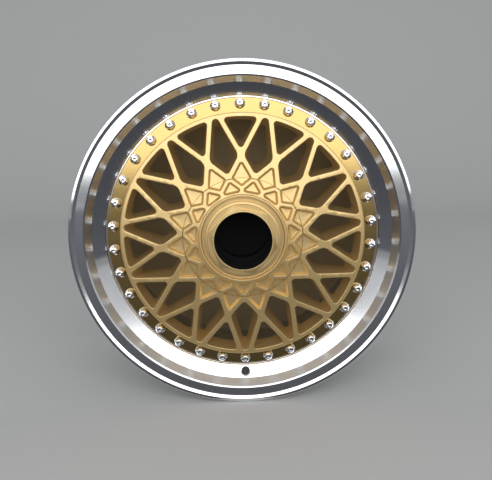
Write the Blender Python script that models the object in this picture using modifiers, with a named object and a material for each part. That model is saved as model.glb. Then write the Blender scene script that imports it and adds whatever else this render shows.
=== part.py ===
"""Three-piece forged racing wheel rim, 16 x 8 inch, modelled in Blender.

The wheel stands upright. Its axle line runs along world Y, the show face looks
towards -Y and +Z is up. The origin is on the axle line, at the middle of the
overall width. Pieces are drawn in the wheel's own frame, under one turned
empty: there +Z runs along the axle towards the show face and +Y is up.

Positions along the axle are given as a depth behind the front plane of the
lip, so a larger depth is further from the eye and a negative one is nearer.
"""
import math

import bmesh
import bpy
from mathutils import Matrix, Vector

MM = 0.001

# ---------------------------------------------------------------- driving dimensions
# rim, to the 16 inch J contour
BEAD_WIDTH = 203.2 * MM          # between the flanges' inner faces, 8 inches
BEAD_SEAT_RADIUS = 202.8 * MM    # nominal 405.6 mm bead seat diameter
FLANGE_HEIGHT = 17.5 * MM        # above the bead seat
FLANGE_THICKNESS = 12.6 * MM     # inner face to the outermost plane
BEAD_SEAT_WIDTH = 20.0 * MM
BARREL_WALL = 5.5 * MM
DROP_WIDTH = 54.0 * MM           # straight part of the drop centre, behind the joint

# bolted joint between centre, lip and barrel
DISC_RADIUS = 175.0 * MM         # outer edge of the centre's bolting flange
SHELF_DEPTH = 26.0 * MM          # bolting face of the centre
DISC_FLANGE = 7.6 * MM
LIP_FLANGE = 5.4 * MM
BARREL_FLANGE = 6.0 * MM
FLANGE_BORE_RADIUS = 160.0 * MM  # bore of the lip's and barrel's flanges
LIP_LAND = 2.5 * MM              # flat of the lip outside the centre
LIP_LAND_STEP = (0.8 * MM, 2.2 * MM)  # from the land up to the conical wall
LIP_LAND_DEPTH = 28.0 * MM
BOLT_COUNT = 34
BOLT_CIRCLE_RADIUS = 167.5 * MM
BOLT_RADIUS = 3.5 * MM           # M7
BOLT_FLANGE_RADIUS = 6.7 * MM
BOLT_FLANGE_HEIGHT = 1.6 * MM
BOLT_HEAD_RADIUS = 5.2 * MM
BOLT_HEAD_HEIGHT = 5.0 * MM
NUT_RADIUS = 6.3 * MM            # M7 nut, across corners / 2
NUT_HEIGHT = 6.5 * MM

# lip face
LIP_EDGE_BAND = 5.0 * MM         # rounded outer edge
LIP_SLOPE = 3.8 * MM             # ring that slopes from the edge down to the front face
LIP_FACE_DEPTH = 1.5 * MM
LIP_FACE_WIDTH = 10.8 * MM       # flat front face
LIP_CHAMFER = (1.7 * MM, 1.2 * MM)  # inner corner of the front face
LIP_STEP = (5.8 * MM, 13.9 * MM) # radial and axial size of the step wall
VALVE_HOLE_RADIUS = 5.65 * MM

# sealing bead in the groove between lip and barrel
SEAL_RADIUS = 2.2 * MM
SEAL_GROOVE = 5.0 * MM

# mesh of the centre: straight spokes that cross at two sets of nodes
CELLS = 15
CROSS_RADIUS = 104.0 * MM        # where two spokes cross
RIM_CROSS_BEYOND = 16.0 * MM     # their next crossing would lie this far outside the mesh
SPOKE_WIDTH = 6.2 * MM
RIB_WIDTH = 4.8 * MM             # ribs between the blind pockets of the hub
SHELF_WIDTH = 18.5 * MM          # bolting face, edge of the mesh to outer edge
RING_WIDTH = 5.5 * MM            # solid ring round the mesh
FACE_RIM_DEPTH = 10.5 * MM       # front face at the ring
FACE_HUB_DEPTH = -1.5 * MM       # front face at the hub
FACE_HUB_RADIUS = 57.0 * MM
BACK_RIM_DEPTH = 38.0 * MM       # back of the spokes at the ring
BACK_HUB_DEPTH = 52.0 * MM       # back of the spokes at the hub
WINDOW_DRAFT = math.radians(9)
POCKET_DEPTH = 3.6 * MM
POCKET_BEVEL = 2.2 * MM          # run of a blind pocket's sloping wall
TIP_ROUND = 4.4 * MM             # rounding of the long windows' outer tips
SIDE_ROUND = 10.0 * MM           # ... of their side corners
NOSE_ROUND = 4.0 * MM            # ... of their inner tips
WINDOW_ROUND = 3.5 * MM          # ... of the triangular windows
POCKET_ROUND = 2.4 * MM          # ... of the blind pockets

# hub
HUB_FACE_DEPTH = 79.0 * MM       # mounting face, offset 35 mm
HUB_PAD_RADIUS = 77.0 * MM
HUB_BORE_RADIUS = 36.3 * MM      # 72.6 mm centring bore
HUB_BORE_LENGTH = 24.0 * MM
LUG_COUNT = 5
LUG_CIRCLE_RADIUS = 60.0 * MM    # 120 mm pitch circle
LUG_HOLE_RADIUS = 7.25 * MM
LUG_SEAT_DEPTH = 45.0 * MM
LUG_SEAT_RADIUS = 71.0 * MM      # outer wall of the lug well
COLLAR_WALL = 5.7 * MM           # threaded collar for the hex nut

# cover plate and hex nut
COVER_RADIUS = 76.0 * MM         # its seam runs through the diamond pockets
COVER_BACK_DEPTH = 7.0 * MM
COVER_RECESS_DEPTH = 3.0 * MM
BOSS_INNER_RADIUS = 52.6 * MM
BOSS_OUTER_RADIUS = 55.0 * MM
BOSS_DEPTH = -3.5 * MM
TRIANGLE_BASE_RADIUS = 58.3 * MM
NUT_BORE_RADIUS = 35.9 * MM
NUT_THREAD_RADIUS = 41.0 * MM
NUT_THREAD_LENGTH = 24.0 * MM
NUT_FLANGE_RADIUS = 47.6 * MM
NUT_FLANGE_THICKNESS = 7.4 * MM
NUT_HEX_FLATS = 76.0 * MM        # across flats
NUT_HEX_DEPTH = -18.0 * MM
NUT_NOSE_DEPTH = -19.0 * MM      # rim of the bore, the foremost point of the wheel
NUT_NOSE_WALL = 1.6 * MM
NUT_HEX_TURN = math.radians(-13) # first corner, from the top, as the nut is tightened
RING_SECTION = 1.1 * MM          # O-ring section radius
PIN_RADIUS = 1.4 * MM
PIN_CIRCLE_RADIUS = 73.4 * MM
PIN_STAND = 2.4 * MM             # reach into the cover
PIN_SUNK = 6.0 * MM              # reach into the centre

# fits
GAP = 0.3 * MM                   # between touching pieces
BOLT_CLEARANCE = 0.4 * MM        # round a bolt or a pin
TURNED_STEPS = BOLT_COUNT        # facets of a turned rim piece, one to each bolt
CORNER_STEPS = 2                 # straight pieces of a rounded corner
OVERRUN = 4 * MM                 # how far a cutter runs past what it cuts
WALL_RISE = 1 * MM               # how far a cell's sloping walls go on above the face

# ---------------------------------------------------------------- derived sizes
OVERALL_WIDTH = BEAD_WIDTH + 2 * FLANGE_THICKNESS
LIP_PLANE = (OVERALL_WIDTH - NUT_NOSE_DEPTH) / 2 + NUT_NOSE_DEPTH
FLANGE_RADIUS = BEAD_SEAT_RADIUS + FLANGE_HEIGHT
LIP_FLANGE_DEPTH = SHELF_DEPTH + DISC_FLANGE + GAP
BARREL_FLANGE_DEPTH = LIP_FLANGE_DEPTH + LIP_FLANGE + GAP
JOINT_DEPTH = BARREL_FLANGE_DEPTH - GAP / 2
BARREL_OUTER_RADIUS = DISC_RADIUS + 9 * MM
MESH_RADIUS = DISC_RADIUS - SHELF_WIDTH
WINDOW_RADIUS = MESH_RADIUS - RING_WIDTH
COLLAR_BORE_RADIUS = NUT_THREAD_RADIUS + GAP
COLLAR_RADIUS = COLLAR_BORE_RADIUS + COLLAR_WALL
COVER_SEAT_DEPTH = COVER_BACK_DEPTH + GAP
RING_GROOVE = 2 * RING_SECTION + GAP
RING_GROOVE_START = (COLLAR_WALL - RING_GROOVE - 0.4 * MM) / 2
CELL_ANGLE = 2 * math.pi / CELLS


def z_of(depth):
    """Height in the wheel's frame of a depth behind the lip's front plane."""
    return LIP_PLANE - depth


def face_depth(radius):
    """Depth of the mesh's front face, a shallow cone, at a radius."""
    share = (radius - FACE_HUB_RADIUS) / (MESH_RADIUS - FACE_HUB_RADIUS)
    return FACE_HUB_DEPTH + share * (FACE_RIM_DEPTH - FACE_HUB_DEPTH)


# ---------------------------------------------------------------- scene and materials
def clear_scene():
    for thing in list(bpy.data.objects):
        bpy.data.objects.remove(thing, do_unlink=True)


def make_collection(name):
    group = bpy.data.collections.new(name)
    bpy.context.scene.collection.children.link(group)
    return group


def make_material(name, colour, roughness, metallic):
    material = bpy.data.materials.new(name)
    material.use_nodes = True
    shader = material.node_tree.nodes["Principled BSDF"]
    shader.inputs["Base Color"].default_value = (*colour, 1)
    shader.inputs["Roughness"].default_value = roughness
    shader.inputs["Metallic"].default_value = metallic
    return material


clear_scene()
WHEEL = make_collection("racing_wheel_rim")
CUTTERS = make_collection("cutters")

AXLE = bpy.data.objects.new("axle_frame", None)
AXLE.rotation_euler = (math.pi / 2, 0, 0)
WHEEL.objects.link(AXLE)


def add_piece(name, mesh, material, location=(0, 0, 0)):
    """One named piece of the wheel, with its own material."""
    piece = bpy.data.objects.new(name, mesh)
    piece.parent = AXLE
    piece.location = location
    if not mesh.materials:
        mesh.materials.append(material)
    WHEEL.objects.link(piece)
    return piece


def add_cutter(name, bm):
    """A hidden solid that Boolean modifiers use."""
    bmesh.ops.recalc_face_normals(bm, faces=bm.faces)
    mesh = bpy.data.meshes.new(name)
    bm.to_mesh(mesh)
    bm.free()
    cutter = bpy.data.objects.new(name, mesh)
    cutter.parent = AXLE
    cutter.hide_render = True
    cutter.display_type = "WIRE"
    CUTTERS.objects.link(cutter)
    return cutter


def boolean(piece, cutter, operation="DIFFERENCE"):
    step = piece.modifiers.new(cutter.name, "BOOLEAN")
    step.operation = operation
    step.solver = "EXACT"
    step.object = cutter


def turned(name, outline, material, steps=TURNED_STEPS):
    """A turned piece: a closed outline of (radius, depth) points, outer side downwards."""
    mesh = bpy.data.meshes.new(name)
    points = [(radius, 0, z_of(depth)) for radius, depth in outline]
    closed = outline[0][0] > 0 or outline[-1][0] > 0
    last = len(points) if closed else len(points) - 1
    mesh.from_pydata(points, [(i, (i + 1) % len(points)) for i in range(last)], [])
    # half a facet of turn, so that the bolt holes fall inside facets
    mesh.transform(Matrix.Rotation(math.pi / steps + math.pi / 2, 4, "Z"))
    piece = add_piece(name, mesh, material)
    spin = piece.modifiers.new("turned", "SCREW")
    spin.axis = "Z"
    spin.steps = steps
    spin.render_steps = steps
    spin.use_merge_vertices = True
    spin.merge_threshold = 0.00001
    spin.use_smooth_shade = False
    return piece


def round_bar(bm, centre, radius, front, back, sides, turn=0.0):
    """A straight bar along the axle between two depths."""
    height = back - front
    place = Matrix.Translation((centre[0], centre[1], z_of((front + back) / 2)))
    bmesh.ops.create_cone(
        bm, cap_ends=True, segments=sides, radius1=radius, radius2=radius, depth=height,
        matrix=place @ Matrix.Rotation(turn, 4, "Z"))


def on_circle(radius, angle):
    """A point at an angle from the top, clockwise as the show face is seen."""
    return Vector((radius * math.sin(angle), radius * math.cos(angle)))


# ---------------------------------------------------------------- the mesh pattern
def spoke_line():
    """Distance of every spoke's centre line from the axle, and its foot's angle.

    A spoke runs from a crossing at CROSS_RADIUS to one half a cell further round,
    which would lie outside the mesh.
    """
    inner = on_circle(CROSS_RADIUS, 0)
    outer = on_circle(MESH_RADIUS + RIM_CROSS_BEYOND, CELL_ANGLE / 2)
    along = (outer - inner).normalized()
    distance = abs(inner.x * along.y - inner.y * along.x)
    return distance, math.acos(distance / CROSS_RADIUS)


LINE_DISTANCE, LINE_FOOT = spoke_line()


def meet(foot_a, distance_a, foot_b, distance_b):
    """Where two lines cross, each given by its foot's angle and its distance."""
    ax, ay = math.sin(foot_a), math.cos(foot_a)
    bx, by = math.sin(foot_b), math.cos(foot_b)
    det = ax * by - ay * bx
    return Vector(((distance_a * by - distance_b * ay) / det,
                   (ax * distance_b - bx * distance_a) / det))


def diamond(outer_foot, outer_distance, inner_foot, inner_distance):
    """Corners of a four-sided cell on the +Y line: outer tip, right, inner tip, left."""
    outer = meet(-outer_foot, outer_distance, outer_foot, outer_distance)
    right = meet(outer_foot, outer_distance, -inner_foot, inner_distance)
    inner = meet(-inner_foot, inner_distance, inner_foot, inner_distance)
    return [outer, right, inner, Vector((-right.x, right.y))]


def long_window():
    """The kite between two crossings: corners and their rounding."""
    half = SPOKE_WIDTH / 2
    corners = diamond(LINE_FOOT + CELL_ANGLE / 2, LINE_DISTANCE - half,
                      LINE_FOOT - CELL_ANGLE / 2, LINE_DISTANCE + half)
    return corners, [TIP_ROUND, SIDE_ROUND, NOSE_ROUND, SIDE_ROUND]


def triangle_window():
    """The triangle between a crossing and the ring, its outer side following the ring."""
    distance = LINE_DISTANCE + SPOKE_WIDTH / 2
    reach = math.acos(distance / WINDOW_RADIUS) - LINE_FOOT
    corners = [on_circle(WINDOW_RADIUS, -reach), on_circle(WINDOW_RADIUS, -reach / 3),
               on_circle(WINDOW_RADIUS, reach / 3), on_circle(WINDOW_RADIUS, reach),
               meet(-LINE_FOOT, distance, LINE_FOOT, distance)]
    return corners, [WINDOW_ROUND, 0, 0, WINDOW_ROUND, WINDOW_ROUND]


def diamond_pocket():
    """The blind diamond inside a crossing."""
    corners = diamond(LINE_FOOT, LINE_DISTANCE - SPOKE_WIDTH / 2,
                      LINE_FOOT - CELL_ANGLE, LINE_DISTANCE + RIB_WIDTH / 2)
    return corners, [POCKET_ROUND] * 4


def triangle_pocket():
    """The blind triangle next to the boss, its base towards the axle."""
    foot = LINE_FOOT - CELL_ANGLE / 2
    distance = LINE_DISTANCE - RIB_WIDTH / 2
    tip = meet(-foot, distance, foot, distance)
    half_base = (distance - TRIANGLE_BASE_RADIUS * math.cos(foot)) / math.sin(foot)
    # the line's foot lies on the far side of the tip, so the half base is measured outwards
    corners = [tip, Vector((abs(half_base), TRIANGLE_BASE_RADIUS)),
               Vector((-abs(half_base), TRIANGLE_BASE_RADIUS))]
    return corners, [POCKET_ROUND] * 3


def drawn_in(corners, inset):
    """The polygon with every side moved inwards by the inset."""
    moved = []
    count = len(corners)
    for i in range(count):
        before, here, after = corners[i - 1], corners[i], corners[(i + 1) % count]
        side_in = (here - before).normalized()
        side_out = (after - here).normalized()
        bisector = (side_out - side_in).normalized()
        half = side_in.angle(-side_out) / 2
        moved.append(here + bisector * inset / math.sin(half))
    return moved


def rounded(corners, radii, inset=0.0):
    """Outline points: corners rounded by arcs, after drawing the sides in."""
    sharp = drawn_in(corners, inset) if inset else list(corners)
    outline = []
    count = len(sharp)
    for i in range(count):
        before, here, after = sharp[i - 1], sharp[i], sharp[(i + 1) % count]
        if not radii[i]:
            outline.append(here)
            continue
        to_before = (before - here).normalized()
        to_after = (after - here).normalized()
        half = to_before.angle(to_after) / 2
        shortest = min((before - here).length, (after - here).length)
        radius = max(radii[i] - inset, 0.25 * radii[i])
        radius = min(radius, 0.45 * shortest * math.tan(half))
        centre = here + (to_before + to_after).normalized() * radius / math.sin(half)
        start = here + to_before * radius / math.tan(half) - centre
        sweep = start.angle_signed(here + to_after * radius / math.tan(half) - centre)
        for step in range(CORNER_STEPS + 1):
            turn = Matrix.Rotation(-sweep * step / CORNER_STEPS, 2)
            outline.append(centre + turn @ start)
    return outline


def cell_cutter(bm, cell, angle, depth_below, inset):
    """A tapering cutter: drawn in by the inset from the face to its floor.

    Its walls keep their slope for a little way above the face, and then stand straight.
    """
    corners, radii = cell
    turn = Matrix.Rotation(-angle, 2)
    middle = sum((corner.length for corner in corners)) / len(corners)
    flare = WALL_RISE * inset / (depth_below(middle) - face_depth(middle))
    rim = rounded(corners, radii, -flare)
    floor = rounded(corners, radii, inset)
    loops = []
    above = z_of(FACE_HUB_DEPTH - OVERRUN)
    for outline, height in (
            (rim, lambda point: above),
            (rim, lambda point: z_of(face_depth(point.length) - WALL_RISE)),
            (floor, lambda point: z_of(depth_below(point.length)))):
        loop = []
        for point in outline:
            place = turn @ point
            loop.append(bm.verts.new((place.x, place.y, height(point))))
        loops.append(loop)
    count = len(rim)
    for upper, lower in zip(loops, loops[1:]):
        for i in range(count):
            after = (i + 1) % count
            bm.faces.new((upper[i], upper[after], lower[after], lower[i]))
    bm.faces.new(loops[0])
    bm.faces.new(list(reversed(loops[-1])))


def cut_cells(name, cell, first_angle, depth_below, inset):
    """The same cell, repeated round the wheel, as one cutter."""
    bm = bmesh.new()
    for index in range(CELLS):
        cell_cutter(bm, cell, first_angle + index * CELL_ANGLE, depth_below, inset)
    bmesh.ops.triangulate(bm, faces=[f for f in bm.faces if len(f.verts) > 4])
    return add_cutter(name, bm)


def window_floor(radius):
    return BACK_HUB_DEPTH + OVERRUN


def pocket_floor(radius):
    return face_depth(radius) + POCKET_DEPTH


# ---------------------------------------------------------------- cutters shared by pieces
def make_bolt_holes():
    bm = bmesh.new()
    for index in range(BOLT_COUNT):
        angle = index * 2 * math.pi / BOLT_COUNT
        round_bar(bm, on_circle(BOLT_CIRCLE_RADIUS, angle), BOLT_RADIUS + BOLT_CLEARANCE,
                  SHELF_DEPTH - OVERRUN, BARREL_FLANGE_DEPTH + BARREL_FLANGE + OVERRUN, 6,
                  -angle)
    return add_cutter("bolt_holes", bm)


def pin_angles():
    """The cover's two locating pins stand behind opposite ribs of the pattern."""
    first = CELL_ANGLE / 2
    return [first, first + CELL_ANGLE * (CELLS // 2)]


def make_pin_holes():
    bm = bmesh.new()
    for angle in pin_angles():
        round_bar(bm, on_circle(PIN_CIRCLE_RADIUS, angle), PIN_RADIUS + BOLT_CLEARANCE,
                  COVER_SEAT_DEPTH - PIN_STAND - GAP, COVER_SEAT_DEPTH + PIN_SUNK + GAP, 8)
    return add_cutter("pin_holes", bm)


def window_inset():
    """How far a window's walls come in from the face to behind the spokes."""
    return (window_floor(CROSS_RADIUS) - face_depth(CROSS_RADIUS)) * math.tan(WINDOW_DRAFT)


BOLT_HOLES = make_bolt_holes()
PIN_HOLES = make_pin_holes()
DIAMOND_POCKETS = cut_cells("diamond_pockets", diamond_pocket(), 0, pocket_floor,
                            POCKET_BEVEL)


# ---------------------------------------------------------------- rim halves
def make_outer_lip():
    """Front half of the rim, with the stepped, polished lip."""
    outer = FLANGE_RADIUS
    face_outer = outer - LIP_EDGE_BAND - LIP_SLOPE
    face_inner = face_outer - LIP_FACE_WIDTH
    step_outer = face_inner - LIP_CHAMFER[0]
    step_inner = step_outer - LIP_STEP[0]
    step_front = LIP_FACE_DEPTH + LIP_CHAMFER[1]
    step_depth = step_front + LIP_STEP[1]
    land = DISC_RADIUS + LIP_LAND
    seat_end = FLANGE_THICKNESS + BEAD_SEAT_WIDTH
    joint_front = JOINT_DEPTH - GAP / 2
    groove = BARREL_OUTER_RADIUS - 2.2 * MM
    outline = [
        (step_outer, step_front),
        (face_inner, LIP_FACE_DEPTH),
        (face_outer, LIP_FACE_DEPTH),
        (outer - LIP_EDGE_BAND, 0),
        (outer - 0.3 * LIP_EDGE_BAND, 0.6 * MM),
        (outer, 3.2 * MM),
        (outer, 6.5 * MM),
        (outer - 6 * MM, 10.5 * MM),
        (outer - 10 * MM, FLANGE_THICKNESS),
        (BEAD_SEAT_RADIUS, FLANGE_THICKNESS + 2 * MM),
        (BEAD_SEAT_RADIUS - 1.6 * MM, seat_end),
        (groove + SEAL_GROOVE + 1 * MM, joint_front - SEAL_GROOVE),
        (groove + SEAL_GROOVE, joint_front - SEAL_GROOVE),
        (groove, joint_front),
        (FLANGE_BORE_RADIUS, joint_front),
        (FLANGE_BORE_RADIUS, LIP_FLANGE_DEPTH),
        (DISC_RADIUS + GAP, LIP_FLANGE_DEPTH),
        (DISC_RADIUS + GAP, LIP_LAND_DEPTH),
        (land, LIP_LAND_DEPTH),
        (land + LIP_LAND_STEP[0], LIP_LAND_DEPTH - LIP_LAND_STEP[1]),
        (step_inner, step_depth),
    ]
    lip = turned("outer_lip", outline, POLISHED)
    boolean(lip, BOLT_HOLES)
    boolean(lip, make_valve_hole(step_inner, step_depth, land))
    return lip


def make_valve_hole(step_inner, step_depth, land):
    """A round hole square to the conical wall, at the foot of the wheel."""
    top = Vector((step_inner, step_depth))
    foot = Vector((land + LIP_LAND_STEP[0], LIP_LAND_DEPTH - LIP_LAND_STEP[1]))
    middle = top.lerp(foot, 0.5)
    slope = math.atan2(foot.y - top.y, top.x - foot.x)
    bm = bmesh.new()
    place = (Matrix.Translation((0, -middle.x, z_of(middle.y)))
             @ Matrix.Rotation(-slope, 4, "X"))
    bmesh.ops.create_cone(bm, cap_ends=True, segments=12, radius1=VALVE_HOLE_RADIUS,
                          radius2=VALVE_HOLE_RADIUS, depth=60 * MM, matrix=place)
    return add_cutter("valve_hole", bm)


def make_inner_barrel():
    """Rear half of the rim: drop centre, straight wall, bead seat and flange."""
    back = OVERALL_WIDTH
    rear_face = back - FLANGE_THICKNESS
    outer = BARREL_OUTER_RADIUS
    groove = outer - 2.2 * MM
    wall_outer = BEAD_SEAT_RADIUS - 2.6 * MM
    drop_end = BARREL_FLANGE_DEPTH + DROP_WIDTH
    ramp = wall_outer - outer
    flange_back = BARREL_FLANGE_DEPTH + BARREL_FLANGE
    outline = [
        (groove, BARREL_FLANGE_DEPTH),
        (outer, BARREL_FLANGE_DEPTH + 2.2 * MM),
        (outer, drop_end),
        (wall_outer, drop_end + 1.4 * ramp),
        (wall_outer, rear_face - BEAD_SEAT_WIDTH - 6 * MM),
        (BEAD_SEAT_RADIUS - 0.9 * MM, rear_face - BEAD_SEAT_WIDTH - 3 * MM),
        (BEAD_SEAT_RADIUS - 1.6 * MM, rear_face - BEAD_SEAT_WIDTH),
        (BEAD_SEAT_RADIUS, rear_face - 2 * MM),
        (FLANGE_RADIUS - 10 * MM, rear_face),
        (FLANGE_RADIUS - 6 * MM, rear_face + 2.1 * MM),
        (FLANGE_RADIUS, back - 6.5 * MM),
        (FLANGE_RADIUS, back - 3.2 * MM),
        (FLANGE_RADIUS - 1.5 * MM, back - 0.8 * MM),
        (FLANGE_RADIUS - 4 * MM, back),
        (FLANGE_RADIUS - 14 * MM, back),
        (wall_outer - BARREL_WALL, back - 12 * MM),
        (wall_outer - BARREL_WALL, drop_end + 1.4 * ramp + 1.5 * MM),
        (outer - BARREL_WALL, drop_end + 1.5 * MM),
        (outer - BARREL_WALL, flange_back),
        (FLANGE_BORE_RADIUS, flange_back),
        (FLANGE_BORE_RADIUS, BARREL_FLANGE_DEPTH),
    ]
    barrel = turned("inner_barrel", outline, SATIN)
    boolean(barrel, BOLT_HOLES)
    return barrel


def make_rim_seal():
    """Sealing bead in the V groove between the rim halves."""
    centre_radius = BARREL_OUTER_RADIUS - 2.2 * MM + (SEAL_RADIUS + GAP) * math.sqrt(2)
    section = []
    for step in range(6):
        angle = math.pi / 2 - step * math.pi / 3
        section.append((centre_radius + SEAL_RADIUS * math.cos(angle),
                        JOINT_DEPTH - SEAL_RADIUS * math.sin(angle)))
    return turned("rim_seal", section, SEALANT)


# ---------------------------------------------------------------- centre
def make_centre_disc():
    """Forged centre: bolting flange, crossed spokes and hub."""
    ring_bottom = SHELF_DEPTH
    hub_step = BACK_HUB_DEPTH
    outline = [
        (COVER_RADIUS + GAP / 2, face_depth(COVER_RADIUS)),
        (MESH_RADIUS - 1.5 * MM, face_depth(MESH_RADIUS - 1.5 * MM)),
        (MESH_RADIUS, FACE_RIM_DEPTH + 1.5 * MM),
        (MESH_RADIUS, ring_bottom),
        (DISC_RADIUS, ring_bottom),
        (DISC_RADIUS, ring_bottom + DISC_FLANGE),
        (FLANGE_BORE_RADIUS - GAP, ring_bottom + DISC_FLANGE),
        (FLANGE_BORE_RADIUS - 2 * MM, BACK_RIM_DEPTH),
        (WINDOW_RADIUS - 4 * MM, BACK_RIM_DEPTH),
        (HUB_PAD_RADIUS + 4 * MM, hub_step),
        (HUB_PAD_RADIUS, hub_step + 6 * MM),
        (HUB_PAD_RADIUS, HUB_FACE_DEPTH),
        (HUB_BORE_RADIUS, HUB_FACE_DEPTH),
        (HUB_BORE_RADIUS, HUB_FACE_DEPTH - HUB_BORE_LENGTH),
        (COLLAR_BORE_RADIUS, HUB_FACE_DEPTH - HUB_BORE_LENGTH - 6 * MM),
        (COLLAR_BORE_RADIUS, COVER_SEAT_DEPTH),
        (COLLAR_BORE_RADIUS + RING_GROOVE_START, COVER_SEAT_DEPTH),
        (COLLAR_BORE_RADIUS + RING_GROOVE_START, COVER_SEAT_DEPTH + RING_GROOVE),
        (COLLAR_RADIUS - RING_GROOVE_START, COVER_SEAT_DEPTH + RING_GROOVE),
        (COLLAR_RADIUS - RING_GROOVE_START, COVER_SEAT_DEPTH),
        (COLLAR_RADIUS, COVER_SEAT_DEPTH),
        (COLLAR_RADIUS, LUG_SEAT_DEPTH),
        (LUG_SEAT_RADIUS, LUG_SEAT_DEPTH),
        (LUG_SEAT_RADIUS, COVER_SEAT_DEPTH),
        (COVER_RADIUS + GAP / 2, COVER_SEAT_DEPTH),
    ]
    disc = turned("centre_disc", outline, GOLD)
    boolean(disc, BOLT_HOLES)
    boolean(disc, cut_cells("triangle_windows", triangle_window(), 0, window_floor,
                            window_inset()))
    boolean(disc, cut_cells("long_windows", long_window(), CELL_ANGLE / 2, window_floor,
                            window_inset()))
    boolean(disc, DIAMOND_POCKETS)
    boolean(disc, make_lug_holes())
    boolean(disc, PIN_HOLES)
    return disc


def make_lug_holes():
    bm = bmesh.new()
    for index in range(LUG_COUNT):
        angle = index * 2 * math.pi / LUG_COUNT
        round_bar(bm, on_circle(LUG_CIRCLE_RADIUS, angle), LUG_HOLE_RADIUS,
                  LUG_SEAT_DEPTH - OVERRUN, HUB_FACE_DEPTH + OVERRUN, 12)
    return add_cutter("lug_holes", bm)


# ---------------------------------------------------------------- cover and nut
def make_waffle_cover():
    """Plate that carries the inner part of the pattern and hides the lug well."""
    outer = COVER_RADIUS - GAP / 2
    recess = BOSS_INNER_RADIUS
    outline = [
        (recess, BOSS_DEPTH + 0.6 * MM),
        (recess + 0.6 * MM, BOSS_DEPTH),
        (BOSS_OUTER_RADIUS - 0.4 * MM, BOSS_DEPTH),
        (BOSS_OUTER_RADIUS + 0.6 * MM, face_depth(BOSS_OUTER_RADIUS + 0.6 * MM)),
        (outer, face_depth(outer)),
        (outer, COVER_BACK_DEPTH),
        (COLLAR_BORE_RADIUS, COVER_BACK_DEPTH),
        (COLLAR_BORE_RADIUS, COVER_RECESS_DEPTH),
        (recess, COVER_RECESS_DEPTH),
    ]
    cover = turned("waffle_cover", outline, GOLD)
    boolean(cover, DIAMOND_POCKETS)
    boolean(cover, cut_cells("triangle_pockets", triangle_pocket(), CELL_ANGLE / 2,
                             pocket_floor, POCKET_BEVEL))
    boolean(cover, PIN_HOLES)
    return cover


def make_hex_nut():
    """Ring nut that holds the cover: hexagon, flange and threaded shank."""
    flange_back = COVER_RECESS_DEPTH - GAP
    flange_front = flange_back - NUT_FLANGE_THICKNESS
    nose = NUT_BORE_RADIUS + NUT_NOSE_WALL
    outline = [
        (0, NUT_NOSE_DEPTH),
        (nose, NUT_NOSE_DEPTH),
        (nose, flange_front),
        (NUT_FLANGE_RADIUS - 1 * MM, flange_front),
        (NUT_FLANGE_RADIUS, flange_front + 1 * MM),
        (NUT_FLANGE_RADIUS, flange_back),
        (NUT_THREAD_RADIUS, flange_back),
        (NUT_THREAD_RADIUS, flange_back + NUT_THREAD_LENGTH),
        (0, flange_back + NUT_THREAD_LENGTH),
    ]
    nut = turned("hex_nut", outline, GOLD, 48)
    hexagon = bmesh.new()
    corner_radius = NUT_HEX_FLATS / math.sqrt(3)
    round_bar(hexagon, (0, 0), corner_radius, NUT_HEX_DEPTH, flange_front + 2 * MM, 6,
              NUT_HEX_TURN)
    boolean(nut, add_cutter("hexagon", hexagon), "UNION")
    bore = bmesh.new()
    round_bar(bore, (0, 0), NUT_BORE_RADIUS, NUT_NOSE_DEPTH - OVERRUN,
              flange_back + NUT_THREAD_LENGTH + OVERRUN, 48)
    boolean(nut, add_cutter("nut_bore", bore))
    return nut


def make_cover_seal():
    """O-ring in the collar's groove, behind the cover."""
    centre_radius = (COLLAR_BORE_RADIUS + COLLAR_RADIUS) / 2
    section = []
    for step in range(6):
        angle = math.pi / 2 - step * math.pi / 3
        section.append((centre_radius + RING_SECTION * math.cos(angle),
                        COVER_SEAT_DEPTH + RING_SECTION + GAP / 2
                        - RING_SECTION * math.sin(angle)))
    return turned("cover_seal_ring", section, RUBBER)


def make_cover_pins():
    for number, angle in enumerate(pin_angles(), 1):
        bm = bmesh.new()
        round_bar(bm, (0, 0), PIN_RADIUS, COVER_SEAT_DEPTH - PIN_STAND,
                  COVER_SEAT_DEPTH + PIN_SUNK, 8)
        mesh = bpy.data.meshes.new("cover_pin")
        bm.to_mesh(mesh)
        bm.free()
        add_piece(f"cover_pin_{number}", mesh, STEEL,
                  (*on_circle(PIN_CIRCLE_RADIUS, angle), 0))


# ---------------------------------------------------------------- fasteners
def make_bolts():
    """Flange bolts with their rear nuts run on, one solid each, all of one mesh."""
    seat = SHELF_DEPTH - GAP
    nut_front = BARREL_FLANGE_DEPTH + BARREL_FLANGE + GAP
    flange_top = seat - BOLT_FLANGE_HEIGHT
    outline = [
        (0, flange_top - BOLT_HEAD_HEIGHT),
        (BOLT_HEAD_RADIUS, flange_top - BOLT_HEAD_HEIGHT),
        (BOLT_HEAD_RADIUS, flange_top),
        (BOLT_FLANGE_RADIUS, flange_top),
        (BOLT_FLANGE_RADIUS, seat),
        (BOLT_RADIUS, seat),
        (BOLT_RADIUS, nut_front),
        (NUT_RADIUS, nut_front),
        (NUT_RADIUS, nut_front + NUT_HEIGHT),
        (0, nut_front + NUT_HEIGHT),
    ]
    pattern = turned("bolt_pattern", outline, CHROME, 6)
    bpy.context.view_layer.update()
    depsgraph = bpy.context.evaluated_depsgraph_get()
    mesh = bpy.data.meshes.new_from_object(pattern.evaluated_get(depsgraph))
    bpy.data.objects.remove(pattern, do_unlink=True)
    # the outline was turned by half a facet: line a corner up with the bolt's radius
    mesh.transform(Matrix.Rotation(-math.pi / 6, 4, "Z"))
    for index in range(BOLT_COUNT):
        angle = index * 2 * math.pi / BOLT_COUNT
        bolt = add_piece(f"assembly_bolt_{index + 1:02d}", mesh, CHROME,
                         (*on_circle(BOLT_CIRCLE_RADIUS, angle), 0))
        bolt.rotation_euler = (0, 0, -angle)


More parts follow.
